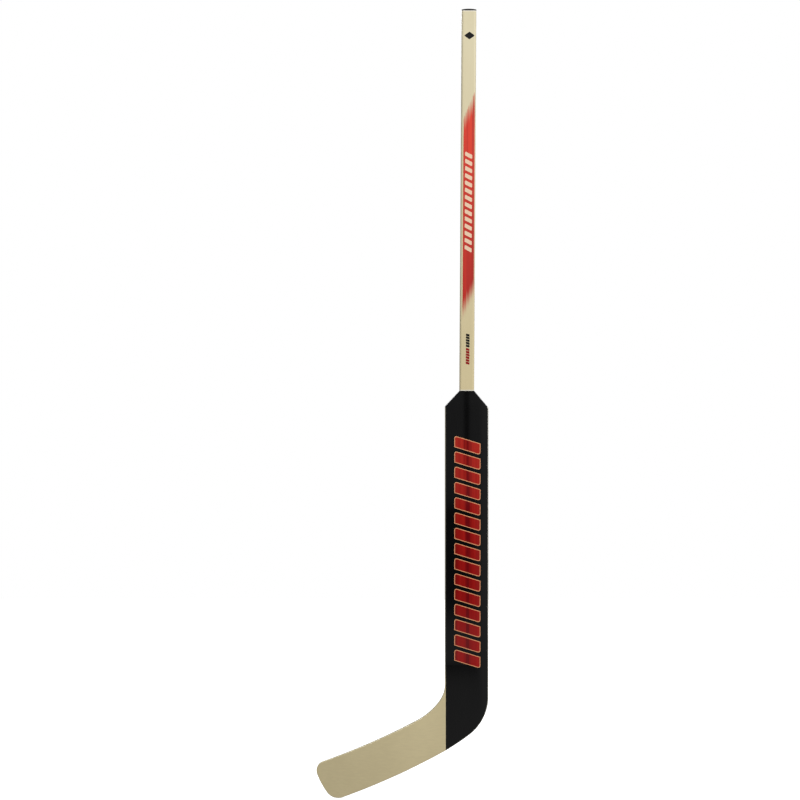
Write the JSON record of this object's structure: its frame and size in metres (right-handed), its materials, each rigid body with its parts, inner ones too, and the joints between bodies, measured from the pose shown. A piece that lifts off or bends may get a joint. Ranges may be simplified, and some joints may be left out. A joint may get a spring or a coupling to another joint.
{
  "type": "ice hockey goaltender stick",
  "caption": "Long stick with a slim shaft, a wide flat paddle and a short curved blade, for a right-catching or left-catching ice hockey goaltender.",
  "frame": {"origin": "centre of the blocker-hand grip: the middle of the shaft's section, 45 mm above the paddle's top line", "axes": "+Z along the paddle's straight sides, up the shaft to the butt end; +X to the heel side, so the toe points to -X; +Y out of the back face, so the front face looks along -Y"},
  "size_m": [0.3533, 0.0388, 1.62],
  "materials": {
    "rubber": "matt moulded rubber, dark brown-black",
    "cream_lacquer": "clear-lacquered cream glass laminate",
    "cream_edge": "cream-painted wood edge, satin",
    "aspen": "bare aspen",
    "birch": "bare birch",
    "foam": "rigid urethane foam",
    "black_film": "glossy black printed film under clear coat",
    "graphic_red": "red screen-printed ink under clear coat",
    "graphic_gold": "tan-orange screen-printed outline",
    "graphic_cream": "pale screen-printed ink",
    "graphic_black": "black screen-printed ink"
  },
  "bodies": {
    "root": {"butt_end_cap": "rubber", "shaft_wrap": "cream_lacquer", "shaft_ply_toe_side": "aspen", "shaft_ply_centre": "aspen", "shaft_ply_heel_side": "aspen", "shoulder_block_toe_side": "cream_edge", "shoulder_block_heel_side": "cream_edge", "paddle_foam_toe_side": "foam", "paddle_foam_heel_side": "foam", "heel_block": "birch", "paddle_rail_toe_side": "cream_edge", "paddle_rail_heel_side": "cream_edge", "heel_strip": "cream_edge", "front_skin": "cream_lacquer", "back_skin": "cream_lacquer", "paddle_front_film": "black_film", "paddle_back_film": "black_film", "blade_tongue": "birch", "blade_ply_upper": "aspen", "blade_ply_middle": "aspen", "blade_ply_lower": "aspen", "blade_top_strip": "cream_edge", "blade_toe_strip": "cream_edge", "blade_sole_strip": "cream_edge"}
  },
  "joints": []
}
